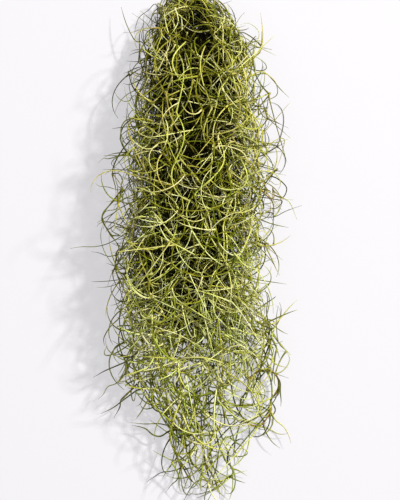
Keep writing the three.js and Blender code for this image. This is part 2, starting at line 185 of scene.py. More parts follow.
# Loose stems and leaves that hang or stand out of the bunch, as (x, distance below the crown), from
# the bunch outwards. Each is rooted on the nearest node.
LOOSE_STEMS = (
    ((10, 209), (10, 226), (11, 240), (11, 254), (9, 267), (5, 280)),
    ((14, 212), (13, 229), (14, 243), (12, 257), (15, 269), (16, 282)),
    ((20, 212), (25, 226), (30, 239), (30, 255), (26, 262), (25, 272)),
    (
        (31, 255), (32, 248), (37, 244), (43, 243), (48, 246), (50, 252), (48, 258), (45, 262), (45, 269),
        (40, 277), (35, 279), (29, 276), (25, 271),
    ),
    ((22, 216), (34, 217), (42, 221), (42, 227), (35, 234), (31, 240)),
    ((35, 198), (41, 210), (46, 220), (51, 227), (57, 233)),
    ((25, 198), (31, 212), (42, 218), (47, 226), (50, 235)),
    ((-7, 258), (2, 263), (12, 264), (24, 262)),
    ((-12, 230), (-14, 241), (-12, 253), (-12, 261), (-7, 271)),
    ((-1, 271), (-1, 282), (2, 292), (4, 305), (7, 315)),
    ((9, 280), (12, 290), (16, 300), (21, 306), (19, 311), (11, 315), (6, 319)),
    ((-20, 272), (-15, 280), (-6, 284), (0, 289)),
    ((-19, 285), (-16, 295), (-12, 303), (-7, 312), (-1, 318)),
    ((-33, 243), (-37, 249), (-42, 254), (-46, 258), (-50, 263)),
    ((-36, 230), (-42, 235), (-46, 243), (-47, 251)),
    ((-47, 130), (-53, 137), (-59, 144), (-60, 149), (-55, 158), (-49, 166)),
    ((38, 111), (42, 106), (39, 100), (34, 98)),
    ((29, 49), (33, 47), (37, 43), (39, 37), (39, 28)),
)
STRAY_LEAVES = (
    ((-38, 58), (-43, 56), (-48, 56)),
    ((-34, 64), (-43, 64), (-48, 63)),
    ((-40, 73), (-43, 75), (-47, 75), (-51, 72), (-54, 67)),
    ((-41, 80), (-45, 83), (-48, 87)),
    ((-38, 85), (-43, 86), (-47, 88), (-49, 93), (-48, 98), (-46, 101), (-42, 101), (-39, 98)),
    ((-40, 93), (-45, 96), (-49, 99)),
    ((-45, 109), (-56, 110), (-60, 110), (-63, 113)),
    ((-43, 105), (-47, 106), (-55, 107), (-60, 109)),
    ((-47, 130), (-51, 127), (-53, 120), (-55, 109)),
    ((-47, 110), (-54, 116), (-59, 120)),
    ((-45, 130), (-51, 130), (-57, 128), (-63, 127), (-66, 125)),
    ((-45, 137), (-51, 143), (-58, 147), (-64, 150)),
    ((-46, 138), (-51, 142), (-57, 143), (-60, 145)),
    ((-48, 135), (-53, 137), (-58, 137)),
    ((-48, 158), (-55, 162), (-60, 164), (-66, 165), (-73, 165), (-80, 166)),
    ((-52, 171), (-58, 171), (-63, 169), (-68, 168)),
    ((-46, 153), (-49, 148), (-52, 143)),
    ((-50, 158), (-55, 155), (-56, 149)),
    ((-48, 203), (-50, 209), (-56, 215), (-60, 222), (-60, 227)),
    ((-47, 208), (-50, 204), (-54, 197)),
    ((-43, 236), (-46, 237), (-53, 240), (-60, 243), (-67, 247)),
    ((-43, 236), (-46, 241), (-48, 246), (-53, 251), (-58, 253), (-61, 258), (-64, 261)),
    ((-34, 253), (-40, 256), (-47, 261), (-55, 267), (-63, 271)),
    ((-45, 258), (-50, 262), (-51, 267), (-55, 274)),
    ((-30, 257), (-33, 262), (-37, 269), (-41, 275)),
    ((-15, 278), (-25, 277), (-35, 277), (-44, 276)),
    ((-17, 279), (-20, 282), (-25, 285), (-30, 284), (-35, 280), (-43, 278)),
    ((-2, 292), (-9, 299), (-17, 300), (-24, 297), (-30, 294)),
    ((-11, 302), (-13, 306), (-19, 308), (-25, 309), (-34, 315)),
    ((-9, 306), (-14, 312), (-18, 316), (-22, 321)),
    ((-36, 37), (-40, 36), (-43, 32), (-47, 23), (-50, 13)),
    ((-22, 34), (-30, 29), (-35, 23), (-43, 17)),
    ((-27, 14), (-33, 17), (-38, 21), (-40, 26), (-41, 32)),
    ((-30, 41), (-28, 36), (-31, 31), (-37, 29), (-43, 31), (-48, 31)),
    ((-38, 50), (-38, 41), (-38, 31), (-35, 23)),
    ((-20, 24), (-27, 23), (-33, 19), (-38, 15)),
    ((32, 68), (34, 62), (38, 56), (39, 52), (38, 49)),
    ((40, 58), (45, 61), (50, 66), (56, 71)),
    ((38, 57), (45, 61), (48, 65), (48, 70), (42, 73), (38, 75)),
    ((35, 76), (39, 78), (42, 77), (43, 72), (43, 67)),
    ((34, 70), (38, 67), (42, 63)),
    ((36, 77), (40, 83), (47, 86), (56, 90)),
    ((37, 78), (43, 84), (50, 90), (57, 96)),
    ((31, 85), (37, 85), (44, 85)),
    ((42, 104), (45, 100), (50, 97), (53, 98), (52, 104), (50, 111), (48, 116)),
    ((41, 106), (46, 104), (52, 101)),
    ((38, 105), (43, 110), (50, 118)),
    ((41, 121), (46, 122), (51, 125), (54, 129), (52, 134), (48, 133), (44, 131), (41, 126)),
    ((41, 121), (45, 125), (48, 126), (51, 125)),
    ((39, 135), (45, 135), (51, 136), (51, 138), (47, 141), (39, 140)),
    ((40, 146), (47, 146), (53, 143), (58, 141), (64, 139)),
    ((51, 134), (56, 138), (60, 148)),
    ((41, 142), (46, 144), (46, 149), (43, 155), (38, 160)),
    ((38, 148), (46, 151), (55, 153)),
    ((38, 160), (43, 166), (51, 173)),
    ((38, 214), (45, 213), (50, 210), (55, 204), (61, 198)),
    ((42, 212), (46, 219), (51, 227), (56, 232)),
    ((38, 231), (43, 235), (48, 239), (55, 241)),
    ((36, 230), (42, 232), (46, 235), (44, 240), (40, 242), (36, 240), (35, 235)),
    ((36, 244), (43, 244), (50, 246), (56, 248)),
    ((31, 254), (36, 258), (41, 259), (45, 262)),
    ((37, 258), (37, 265), (39, 271), (42, 272), (45, 268)),
    ((45, 269), (48, 275), (53, 279), (56, 284), (58, 290)),
    ((40, 277), (42, 283), (46, 289), (51, 293)),
    ((35, 279), (42, 280), (50, 284), (56, 284)),
    ((17, 285), (23, 289), (27, 292), (28, 297)),
    ((19, 285), (26, 282), (32, 279), (35, 279)),
    ((20, 303), (24, 307), (30, 311)),
    ((18, 310), (23, 313), (29, 315)),
    ((29, 49), (33, 47), (37, 43), (39, 37), (39, 28), (38, 18)),
    ((31, 47), (35, 39), (37, 32), (35, 28), (30, 25), (25, 26)),
    ((28, 47), (29, 41), (32, 37), (37, 36), (39, 38), (38, 44)),
    ((27, 37), (25, 31), (22, 24), (18, 19)),
    ((14, 26), (16, 23), (17, 18)),
)
STRAY_STEPS = 5  # of a smooth line from one of these points to the next
STRAY_HEIGHT = (0.15, 0.6)  # as a share of the bunch's thickness there
NEAR_NODE = 5  # a course that starts this near its node starts at the node
LOOSE_RADIUS = 0.42
LOOSE_LEAVES = ((0, 4), (262, 3), (285, 1.8), (328, 1.4))  # at each node of a loose stem

# Round threads, in millimetres.
ROUND_LEAF = ((0, 0.325), (190, 0.335), (222, 0.46), (265, 0.48), (328, 0.46))
ROUND_STEM = ((0, 0.5), (60, 0.42), (150, 0.39), (260, 0.38), (328, 0.38))
LEAF_FACTOR = (0.7, 1.25)  # from the thinnest leaf to the thickest
KNOT_SWELL = 0.3  # at the stem's nodes and the leaves' roots
KNOT_LENGTH = 2.0
TIP_LENGTH = 9
TIP_RADIUS = 0.09
ROUND_TAPER = 0.45
STEM_SIDES = 6
LEAF_SIDES = 5
STRIP_SHAPE = 6  # a thread's strip of the map is this many times as high as it is wide
STRIP_EDGE = 0.08
STRIP_END = 0.02  # height of a tube's flat end in the strip

# How much light gets in to a thread, for the painted shade that darkens threads deep in the tangle.
SHADE_CELL = 3
SHADE_STEPS = 5
SHADE_THICKNESS = 0.05  # how much light a millimetre of thread in a cell takes away
SUNNY_SIDE = 0.22  # painted light: this much more of the light reaches the threads at the right side, towards the key light
LEFT_SIDE_LIGHT = 0.06  # and painted light, this much at the left
HOLLOW_SHADE = 0.62  # and this much less in the hollow: painted shade
OPEN_SHARES = (  # threads that get as much of the light have no painted shade and stay as bright as those outside
    (0, 0.46), (16, 0.55), (30, 0.6), (60, 0.61), (100, 0.6), (165, 0.55), (205, 0.45), (240, 0.4),
    (328, 0.38),
)
SHADE_RANGE = 0.19  # with this much less of it they are fully in painted shade, the dark of old stems

# Tones from 0, dark, to 1, pale.
YOUNG_SHARES = (  # added to the tone
    (0, -0.04), (130, 0), (160, 0.08), (205, 0.26), (235, 0.26), (255, 0.06), (328, 0),
)
LOOSE_TONE = 0.5  # share of the tone that loose stems keep
STEM_TONE = 0.7  # and other stems
STRAY_FROM = 0.95  # where threads stand out of the bunch their tone gets painted shade, from here out
STRAY_SPAN = 0.2
STRAY_SHADE = (0.6, 0.3)  # painted shade at the left side, away from the key light, and at the right side
RUST_SHARE = 0.012  # of the threads are dead from the root
RUST_FADE = 6  # along the thread
TIP_SHARE = 0.05  # of the threads have a dead tip
TIP_RUST = 0.4
TIP_POWER = 4
TINT_SPAN = 0.045  # of the colour circle, from the yellowest thread to the greenest
TINT_MIDDLE = 0.45
TINT_SHIFTS = ((0, -0.4), (130, -0.2), (230, 0.08), (328, 0.12))

# Colours. Each kind of thread has a pale one, a dark one and its share of the dark old-stem colour where
# it is in painted shade.
THREAD_KINDS = {
    "young_strand": ("young_thread", 0xDADA4C, 0x586000, 0.98),
    "mature_strand": ("mature_thread", 0xCACA40, 0x3E4800, 0.99),
    "old_strand": ("old_thread", 0xADAD34, 0x283000, 0.99),
}
FURTHER_SLOTS = ("mature_strand", "old_strand", "young_strand")
# Dark old stems inside the tangle, also used as painted shade where little light gets in.
OLD_STEM_AND_SHADE = 0x121000
SHEATH = 0x8A7A2A  # dry brown sheath at a node
SHEATH_SHARE = 0.7
RUST = 0x8C6A24
RUST_COVER = 0.85
BLOOM = 0xD4D4C2  # the pale scales that cover fresh threads
BLOOM_SHARE = 0.4
BLOOM_PATCHES = 0.7
BLOOM_START = 0.48  # of the noise, from where the patches grow denser
BLOOM_RISE = 2.2
BLOOM_POWER = 4  # of the tone: dark threads have hardly any
GLINT = 0xFFFBA0  # colour and level of the threads' gloss
GLINT_LEVEL = 0.24

# Noise of the threads, as (cells in a metre, detail), and what it changes.
BLOTCHES = (90, 2)
GRAIN = (900, 3)
SCALES = (3200, 1)
BLOTCH_SHARE = 0.9
GRAIN_SHARE = 0.5
SMOOTHEST = 0.14
GRAIN_ROUGHNESS = 0.26
SHADE_ROUGHNESS = 0.6
SCALE_BUMP = (0.6, 0.00015)  # strength and depth

# The floor glows weakly and evenly, so that the bunch's shadow on it is pale.
FLOOR_HALF = 3  # half its side, in metres
FLOOR_COLOUR = (0.25, 0.246, 0.258, 1)
FLOOR_ROUGHNESS = 0.9
FLOOR_NOISE = (60, 4)
FLOOR_BUMP = (0.25, 0.0006)
FLOOR_GLOW = 0.558
FLOOR_GLOW_COLOUR = (0.985, 0.966, 1, 1)

# Lights as (name, place, size, power, colour). Both face the bunch.
LIGHTS = (
    ("key", (1.43, 1.2, 1.95), 0.2, 121, (1, 0.99, 0.95)),
    ("fill", (-0.5, -0.2, 1.7), 1.2, 6, (0.98, 0.98, 1)),
)
LIGHT_TARGET = (0, 0, 0.02)
WORLD_COLOUR = (0.97, 0.97, 1, 1)
WORLD_STRENGTH = 0.2

# The picture's frame: metres on the plane of the bunch's middle.
PIXEL = 0.00062
PICTURE_HEIGHT = 500
FRAME_MIDDLE = -167  # as y of the bunch, in millimetres
CAMERA_HEIGHT = 0.95
CAMERA_PLANE = 0.03
SENSOR = 36  # height, in millimetres

FULL_TURN = (0, 2 * math.pi)


# Vectors as tuples of three numbers.
def add(a, b, share=1.0):
    return (a[0] + b[0] * share, a[1] + b[1] * share, a[2] + b[2] * share)


def sub(a, b):
    return (a[0] - b[0], a[1] - b[1], a[2] - b[2])


def scaled(a, share):
    return (a[0] * share, a[1] * share, a[2] * share)


def dot(a, b):
    return a[0] * b[0] + a[1] * b[1] + a[2] * b[2]


def cross(a, b):
    return (a[1] * b[2] - a[2] * b[1], a[2] * b[0] - a[0] * b[2], a[0] * b[1] - a[1] * b[0])


def size_of(a):
    return math.sqrt(a[0] * a[0] + a[1] * a[1] + a[2] * a[2])


def unit(a):
    return scaled(a, 1 / (size_of(a) or 1))


def heading_of(start, end):
    return unit(sub(end, start))


def angle_between(a, b):
    sizes = math.sqrt(dot(a, a) * dot(b, b))
    if sizes == 0:
        return math.pi / 2
    return math.acos(max(-1.0, min(1.0, dot(a, b) / sizes)))


def turned(vector, axis, angle):
    """The vector turned about a unit axis."""
    across = cross(axis, vector)
    upright = scaled(axis, dot(axis, vector) * (1 - math.cos(angle)))
    return add(add(scaled(vector, math.cos(angle)), across, math.sin(angle)), upright)


def seeded(seed):
    """A linear congruential generator, which gives the same bunch every time."""
    state = seed

    def draw(limits):
        nonlocal state
        state = (state * 1664525 + 1013904223) % 4294967296
        return limits[0] + ((limits[1] - limits[0]) * state) / 4294967296

    for _ in range(4):
        draw((0, 1))
    return draw


def seed_for(steps, strand, node, turn=0):
    return SEED + steps[0] * (strand + 1) + steps[1] * node + steps[2] * turn


# The bunch's body.
def along(stations, distance):
    """The size at a distance below the crown, from a list of stations."""
    if stations[0][0] > distance:
        return stations[0][1]
    for (d0, size0), (d1, size1) in zip(stations, stations[1:]):
        if d1 > distance:
            return size0 + ((size1 - size0) * (distance - d0)) / (d1 - d0)
    return stations[-1][1]


def in_bunch(distance, across, up):
    """A point of the bunch: across and up are 0 on its middle line and 1 at its outside."""
    out = max(1, math.hypot(across, up))
    x = along(SIDE_DRIFT, distance) + (along(HALF_WIDTH, distance) * across) / out
    z = along(THICKNESS, distance) * (0.5 + (PRESSED * up) / out)
    return (x, -distance, max(LOWEST, z))


def outward_at(point):
    """Away from the bunch's middle line: about 1 long at the outside."""
    x = (point[0] - along(SIDE_DRIFT, -point[1])) / along(HALF_WIDTH, -point[1])
    return (x, 0, (2 * point[2]) / along(THICKNESS, -point[1]) - 1)


def stays_in(points, reach):
    """True where a thread stays in the bunch, or out of it by no more than a reach."""
    for x, y, z in points:
        distance = -y
        if distance <= 0 or distance >= LENGTH:
            return False
        if abs(x - along(SIDE_DRIFT, distance)) >= along(HALF_WIDTH, distance) + reach:
            return False
        if z >= along(THICKNESS, distance) * (0.5 + PRESSED) + reach / 2:
            return False
    return True


def square_to(heading, angle):
    """The unit vector square to a heading, at an angle round it."""
    pole = (1, 0, 0) if abs(heading[2]) >= 0.8 else (0, 0, 1)
    a = unit(cross(heading, pole))
    b = cross(heading, a)
    return add(scaled(a, math.cos(angle)), b, math.sin(angle))


# Paths, and the rows of the solids along them.
def bowed_path(start, end, side, bow):
    """A path from start to end that bows out to one side."""
    path = []
    for i in range(STEPS + 1):
        point = add(start, sub(end, start), i / STEPS)
        x, y, z = add(point, side, bow * math.sin((math.pi * i) / STEPS))
        path.append((x, y, max(LOWEST, z)))
    return path


def curled_path(start, heading, side, length, curl, hook, wave=0, waves=0):
    """A path that sets off along heading and curls towards side, more and more if it hooks.

    It may also swing a little to both sides. Where it comes down to the surface it slides along it.
    """
    path = [start]
    x, y, z = start
    for i in range(STEPS):
        t = (i + 0.5) / STEPS
        turn = curl * t + hook * t * t + wave * math.sin(waves * t)
        c = math.cos(turn)
        s = math.sin(turn)
        dx = heading[0] * c + side[0] * s
        dy = heading[1] * c + side[1] * s
        dz = heading[2] * c + side[2] * s
        dz = max(dz, ((LOWEST - z) * STEPS) / length)
        level = math.sqrt(max(0, 1 - dz**2)) / max(1e-6, math.hypot(dx, dy))
        x += dx * level * (length / STEPS)
        y += dy * level * (length / STEPS)
        z += dz * (length / STEPS)
        path.append((x, y, z))
    return path


def rows_of(path):
    """The points of a path between which its solid has rows of faces."""
    headings = [sub(b, a) for a, b in zip(path, path[1:])]
    turn = sum(angle_between(a, b) for a, b in zip(headings, headings[1:]))
    rows = next((count for count in ROW_COUNTS if turn < count * TURN_PER_ROW), ROW_COUNTS[-1])
    return path[:: STEPS // rows]


def is_smooth(rows):
    """True where no row of a thread bends sharply into the next."""
    headings = [heading_of(a, b) for a, b in zip(rows, rows[1:])]
    return all(dot(a, b) > TIGHTEST_CURL for a, b in zip(headings, headings[1:]))


# The room that threads leave each other. Stretches are filed by the cells near them.
CELL = 6.5
SAMPLE = 3.0
stretches = []
leaving = []
cells = {}


def samples_of(start, end):
    count = max(1, math.ceil(size_of(sub(end, start)) / SAMPLE))
    for i in range(count + 1):
        x, y, z = add(start, sub(end, start), i / count)
        yield (int(x // CELL), int(y // CELL), int(z // CELL))


def file_stretch(start, end, radius, nodes):
    number = len(stretches)
    stretches.append((start, end, radius, nodes, size_of(sub(end, start))))
    filed = set()
    for i, j, k in samples_of(start, end):
        for cell in ((i + a, j + b, k + c) for a in (-1, 0, 1) for b in (-1, 0, 1) for c in (-1, 0, 1)):
            if cell not in filed:
                filed.add(cell)
                cells.setdefault(cell, []).append(number)


def distance_between(start1, end1, start2, end2):
    """The least distance between two straight stretches."""
    along1 = sub(end1, start1)
    along2 = sub(end2, start2)
    between = sub(start1, start2)
    a = dot(along1, along1)
    b = dot(along1, along2)
    c = dot(along1, between)
    e = dot(along2, along2)
    f = dot(along2, between)
    slant = a * e - b * b
    s = max(0.0, min(1.0, (b * f - c * e) / slant)) if slant > 1e-9 else 0.0
    t = (b * s + f) / e
    if t < 0 or t > 1:
        t = max(0.0, min(1.0, t))
        s = max(0.0, min(1.0, (b * t - c) / a))
    return size_of(add(add(between, along1, s), along2, -t))


def new_node():
    leaving.append([])
    return len(leaving) - 1


def has_room(points, radii, from_node, gap):
    """True where a thread that leaves a node has room for itself."""
    away = heading_of(points[0], points[1])
    for root, other in leaving[from_node]:
        if dot(away, other) > CLOSEST_ANGLE:
            return False
        if gap == GAP and angle_between(sub(away, other), sub(points[0], root)) > WIDEST_PARTING:
            return False
    for i in range(1, len(points)):
        radius = max(radii[i - 1], radii[i])
        near = set()
        for cell in samples_of(points[i - 1], points[i]):
            near.update(cells.get(cell, ()))
        for number in near:
            start, end, other_radius, nodes, _ = stretches[number]
            if i == 1 and from_node in nodes:
                continue
            if distance_between(points[i - 1], points[i], start, end) < radius + other_radius + gap:
                return False
    return True


def take(points, radii, from_node, to_node):
    """Takes up the room of a thread from one node to another, or to a free tip."""
    last = len(points) - 1
    for i in range(1, last + 1):
        nodes = []
        if i == 1:
            nodes.append(from_node)
        if i == last and to_node is not None:
            nodes.append(to_node)
        file_stretch(points[i - 1], points[i], max(radii[i - 1], radii[i]), nodes)
    leaving[from_node].append((points[0], heading_of(points[0], points[1])))
    if to_node is not None:
        leaving[to_node].append((points[last], heading_of(points[last], points[last - 1])))


# The rings of the solids, whose faces the leaves grow from.
def ring_at(centre, heading, first, radius):
    towards = unit(add(first, heading, -dot(first, heading)))
    side = cross(heading, towards)
    ring = []
    for k in range(SIDES):
        angle = (k * 2 * math.pi) / SIDES
        x, y, z = add(add(centre, towards, radius * math.cos(angle)), side, radius * math.sin(angle))
        ring.append((x, y, max(0, z)))
    return ring


def heading_at(points, i):
    """The direction of a thread at one of its points. The shorter stretch there counts more."""
    heading = (0, 0, 0)
    for k in (i, i + 1):
        if k == 0 or k == len(points):
            continue
        stretch = sub(points[k], points[k - 1])
        heading = add(heading, stretch, 1 / dot(stretch, stretch))
    return unit(heading)


def rings_along(points, radii, foot):
    """The rings of a thread, turned as little as they can be from one to the next."""
    away = heading_of(points[0], points[1])
    first = (0, 0, 0) if foot else square_to(away, 0)
    for k, corner in enumerate(foot or ()):
        first = add(first, turned(sub(corner, points[0]), away, (-k * 2 * math.pi) / SIDES))
    rings = []
    for i, point in enumerate(points):
        if foot and i == 0:
            rings.append(list(foot))
            continue
        ring = ring_at(point, heading_at(points, i), first, radii[i])
        if radii[i] > 0:
            first = sub(ring[0], point)
        rings.append(ring)
    return rings


def node_face(shoot, node, turn):
    """One of the six triangles round a node of a solid: its corners, middle and normal."""
    number = (node["id"] + turn) % (2 * SIDES)
    side = number % SIDES
    after = (side + 1) % SIDES
    lower = shoot["rings"][node["row"]]
    higher = shoot["rings"][node["row"] + 1]
    if number < SIDES:
        a, b, c = lower[side], lower[after], higher[after]
    else:
        a, b, c = higher[side], lower[side], higher[after]
    middle = scaled(add(add(a, b), c), 1 / 3)
    return (a, b, c), middle, unit(cross(sub(c, b), sub(a, b)))


def stem_radii(rows, is_main):
    """A stem's radius at each row between two nodes. A main stem is thicker at the crown."""
    radii = []
    for row, point in enumerate(rows):
        share = min(1, -point[1] / SHORTEST_END) if is_main else 1
        swell = NODE_SWELL if row in (0, len(rows) - 1) else 0
        radii.append((1 - share) * CROWN_RADIUS + share * TAIL_RADIUS + swell)
    return radii


def leaf_radii(rows, foot_radius):
    last = len(rows) - 1
    radii = [LEAF_RADIUS * (1 - LEAF_TAPER * (row / last) ** 2) for row in range(last)]
    return [foot_radius, *radii[1:], 0]


def end_of_node(path):
    """The end of a node whose stem arrives by a path's last step."""
    x, y, z = add(path[STEPS], heading_of(path[STEPS - 1], path[STEPS]), NODE_LENGTH)
    return (x, y, max(LOWEST, z))


# Growing. A shoot or leaf keeps its fine path in "line".
def new_shoot(start, radius, foot):
    return {
        "points": [start], "radii": [radius], "nodes": [], "foot": foot, "line": [start], "knots": [],
    }


def add_node(shoot, path, rows, radii, end, from_node):
    """Adds a stretch of stem to a shoot, with the node at its end."""
    number = new_node()
    radius = radii[-1]
    take(rows, radii, from_node, number)
    file_stretch(rows[-1], end, radius, [number])
    shoot["points"] += [*rows[1:], end]
    shoot["radii"] += [*radii[1:], radius]
    shoot["line"] += [*path[1:], end]
    knot = len(shoot["line"]) - 1
    shoot["knots"].append(knot)
    shoot["nodes"].append({"id": number, "row": len(shoot["points"]) - 2, "knot": knot})


def finish_shoot(shoot, draw, heading, gap):
    """Ends a shoot in a leaf, and gives the shoot its rings."""
    number = shoot["nodes"][-1]["id"]
    end = shoot["points"][-1]
    foot_radius = shoot["radii"][-1]
    tip = add(end, heading, NODE_LENGTH)
    rows = [end, tip]
    path = [end, tip]
    for i in range(LEAF_TRIES):
        side = square_to(heading, draw(FULL_TURN))
        length = draw(LEAF_LENGTH) * (1 - i / LEAF_TRIES)
        tried_path = curled_path(end, heading, side, length, draw(LEAF_CURL), 0)
        tried = rows_of(tried_path)
        if not is_smooth(tried) or not stays_in(tried, REACH):
            continue
        if not has_room(tried, leaf_radii(tried, foot_radius), number, gap):
            continue
        rows = tried
        path = tried_path
        break
    radii = leaf_radii(rows, foot_radius)
    take(rows, radii, number, None)
    shoot["points"] += rows[1:]
    shoot["radii"] += radii[1:]
    shoot["line"] += path[1:]
    shoot["rings"] = rings_along(shoot["points"], shoot["radii"], shoot["foot"])
    return shoot


StrandRule = namedtuple("StrandRule", "strands start_spread spacings bows end_share gap tries")
SOLIDS_RULE = StrandRule(STRANDS, START_SPREAD, NODE_SPACING, BOW, 1, GAP, STEM_TRIES)
FURTHER_RULE = StrandRule(
    MORE_STRANDS, MORE_SPREAD, MORE_SPACING, MORE_BOW, MORE_END, FINE_GAP, MORE_STEM_TRIES
)


def grow_stem(strand, rule):
    """The main stem of a strand."""
    draw = seeded(SEED + STEM_SEED * strand)
    out = math.sqrt((strand % rule.strands + 0.5) / rule.strands)
    middle = (out * math.cos(strand * GOLDEN_ANGLE), out * math.sin(strand * GOLDEN_ANGLE))
    share = (strand * GOLDEN_RATIO + FIRST_END) % 1
    stop = ((1 - share) * SHORTEST_END + share * LONGEST_END) * rule.end_share
    distance = FIRST_START + rule.start_spread * ((strand * GOLDEN_RATIO) % 1)
    is_arched = strand % ARCHED == 1
    if is_arched:
        distance += ARCH_RISE[1]
    shoot = new_shoot(in_bunch(distance, *middle), 0, None)
    heading = None
    from_node = new_node()
    while distance < stop:
        is_first = not shoot["nodes"]
        is_arch = is_arched and is_first
        found = next_stretch(shoot, middle, distance, is_arch, heading, from_node, draw, rule)
        if found:
            path, rows, radii, node_end, heading = found
            add_node(shoot, path, rows, radii, node_end, from_node)
            from_node = shoot["nodes"][-1]["id"]
            distance = -node_end[1]
        elif is_first:
            distance += NODE_LENGTH
        else:
            break
    return finish_shoot(shoot, draw, heading, rule.gap)


def next_stretch(shoot, middle, distance, is_arch, heading, from_node, draw, rule):
    """A stretch of main stem from a shoot's end to its next node, or None where none has room."""
    across, up = middle
    spacing = 0 if is_arch else draw(rule.spacings)
    for i in range(rule.tries):
        wander = WANDER * (1 + (WANDER_GROWTH * i) / rule.tries)
        limits = (-wander, wander)
        start_across = draw((-1, 1)) if is_arch else across + draw(limits)
        if not shoot["nodes"]:
            shoot["points"][0] = in_bunch(distance, start_across, up + draw(limits))
            shoot["line"][0] = shoot["points"][0]
        start = shoot["points"][-1]
        end_across = across + draw(limits)
        end = in_bunch(distance + spacing, end_across, up + draw(limits))
        aside = square_to(heading_of(start, end), draw(FULL_TURN))
        side = (0, 1, 0) if is_arch else aside
        bow = draw(ARCH_RISE if is_arch else rule.bows)
        found = try_stretch(start, end, side, bow, heading, from_node, rule.gap)
        is_narrow = is_arch and size_of(sub(end, start)) < ARCH_RISE[0]
        if found and not is_narrow:
            return found
    return None


def try_stretch(start, end, side, bow, heading, from_node, gap):
    """A bowed stretch of main stem with its node, or None where it doesn't fit."""
    path = bowed_path(start, end, side, bow)
    rows = rows_of(path)
    node_end = end_of_node(path)
    radii = stem_radii(rows, True)
    if heading and dot(heading_of(start, rows[1]), heading) < SHARPEST_BEND:
        return None
    if not stays_in([*rows, node_end], REACH):
        return None
    if not has_room([*rows, node_end], [*radii, radii[0]], from_node, gap):
        return None
    return path, rows, radii, node_end, heading_of(path[STEPS], node_end)


def grow_side_shoot(stem, node, draw, gap, tries):
    """A curled side shoot with one node, or None where it has no room."""
    foot, root, normal = node_face(stem, node, 2 * SIDES - 1)
    for _ in range(tries):
        heading = add(normal, square_to(normal, draw(FULL_TURN)), SHOOT_LEAN)
        heading = unit(add(heading, outward_at(root), draw(LEAN_OUT)))
        towards = square_to(heading, draw(FULL_TURN))
        length = draw(SHOOT_LENGTH)
        path = curled_path(root, heading, towards, length, draw(SHOOT_TURN), 0)
        rows = rows_of(path)
        end = end_of_node(path)
        radii = stem_radii(rows, False)
        radii[0] = size_of(sub(root, foot[0]))
        if not is_smooth(rows) or dot(heading_of(root, rows[1]), normal) < LOWEST_START:
            continue
        if not stays_in([*rows, end], REACH + STRAY_REACH / 2):
            continue
        if not has_room([*rows, end], [*radii, radii[0]], node["id"], gap):
            continue
        shoot = new_shoot(root, radii[0], foot)
        add_node(shoot, path, rows, radii, end, node["id"])
        return finish_shoot(shoot, draw, heading_of(path[STEPS], end), gap)
    return None


def grow_side_shoots(stem, strand, every, gap, tries):
    """The side shoots of a strand, one at each so many nodes of its stem where there is room."""
    shoots = []
    for i in range(1 + strand % every, len(stem["nodes"]), every):
        draw = seeded(seed_for(SHOOT_SEEDS, strand, i))
        shoot = grow_side_shoot(stem, stem["nodes"][i], draw, gap, tries)
        if shoot:
            shoots.append(shoot)
    return shoots


def grow_leaf(shoot, node, turn, draw):
    """A thread leaf from a face of a node, or None where it has no room."""
    foot, root, normal = node_face(shoot, node, turn)
    stem = heading_of(shoot["points"][node["row"]], shoot["points"][node["row"] + 1])
    if draw((0, 1)) < BACKWARD_SHARE:
        stem = scaled(stem, -1)
    for i in range(LEAF_TRIES):
        spread = draw(LEAF_SPREAD)
        heading = add(scaled(normal, math.sin(spread)), stem, math.cos(spread))
        heading = unit(add(heading, outward_at(root), draw(LEAN_OUT)))
        towards = square_to(heading, draw(FULL_TURN))
        length = draw(LEAF_LENGTH) * (1 - (LEAF_SHORTENING * i) / LEAF_TRIES)
        curl = draw(LEAF_CURL)
        path = curled_path(root, heading, towards, length, curl, draw(LEAF_HOOK))
        rows = rows_of(path)
        reach = REACH + STRAY_REACH * draw((0, 1)) ** STRAY_POWER
        radii = leaf_radii(rows, size_of(sub(root, foot[0])))
        if not is_smooth(rows) or dot(heading_of(root, rows[1]), normal) < LOWEST_START:
            continue
        if not stays_in(rows, reach) or not has_room(rows, radii, node["id"], GAP):
            continue
        take(rows, radii, node["id"], None)
        return {"rings": rings_along(rows, radii, foot), "line": path, "knots": []}
    return None


def nodes_of(strands):
    """Every node of some strands, as (strand, shoot, node)."""
    for strand, threads in enumerate(strands):
        for shoot in threads:
            for node in shoot["nodes"]:
                yield strand, shoot, node


def grow_strands():
    """The solids' strands as lists of threads: a main stem, its side shoots, then the leaves."""
    strands = [[grow_stem(strand, SOLIDS_RULE)] for strand in range(STRANDS)]
    for strand, threads in enumerate(strands):
        threads += grow_side_shoots(threads[0], strand, SHOOT_EVERY, GAP, LEAF_TRIES)
    shoots = [list(threads) for threads in strands]
    for turn in range(LEAVES_PER_NODE):
        for strand, shoot, node in nodes_of(shoots):
            draw = seeded(seed_for(LEAF_SEEDS, strand, node["id"], turn))
            leaf = grow_leaf(shoot, node, turn, draw)
            if leaf:
                strands[strand].append(leaf)
    return strands, shoots


